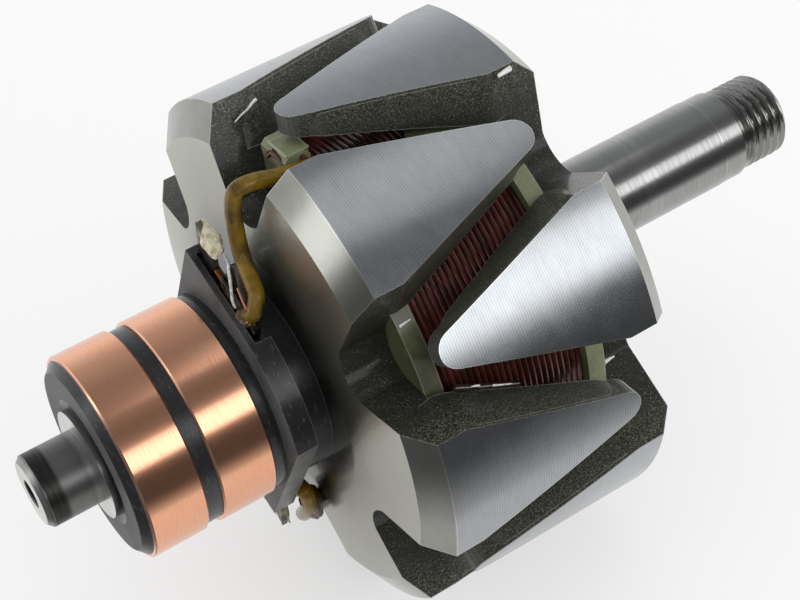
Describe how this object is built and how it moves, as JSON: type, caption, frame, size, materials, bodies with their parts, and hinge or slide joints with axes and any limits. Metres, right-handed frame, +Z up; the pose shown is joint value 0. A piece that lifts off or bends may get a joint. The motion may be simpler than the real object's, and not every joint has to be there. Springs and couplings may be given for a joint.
{
  "type": "vehicle alternator claw-pole rotor with slip rings",
  "caption": "Claw-pole alternator rotor: two interleaved forged pole halves around a field coil on a threaded shaft, with copper slip rings on a black moulding.",
  "frame": {"origin": "on the shaft's axis, where the drive-end bearing seat begins", "axes": "+X along the shaft towards the pulley thread, +Z up as the rotor lies on its poles"},
  "size_m": [0.142, 0.087, 0.087],
  "materials": {
    "shaft_steel": "ground and turned steel",
    "pole_steel": "forged steel, turned outside, varnished in the gaps",
    "bobbin_nylon": "natural moulded nylon under varnish",
    "enamelled_wire": "dark red enamelled copper wire",
    "black_moulding": "black moulded resin",
    "slip_ring_copper": "fine-turned copper",
    "varnished_sleeve": "braided sleeve soaked in amber varnish",
    "bare_copper": "bare copper wire",
    "tinned_terminal": "tinned and soldered"
  },
  "bodies": {
    "root": {"shaft": "shaft_steel", "pole_half_ring_end": "pole_steel", "pole_half_drive_end": "pole_steel", "bobbin": "bobbin_nylon", "field_coil": "enamelled_wire", "slip_ring_body": "black_moulding", "slip_ring_outer": "slip_ring_copper", "slip_ring_inner": "slip_ring_copper", "lead_sleeve_start": "varnished_sleeve", "lead_sleeve_finish": "varnished_sleeve", "lead_wire_start": "bare_copper", "lead_wire_finish": "bare_copper", "terminal_start": "tinned_terminal", "terminal_finish": "tinned_terminal"}
  },
  "joints": []
}
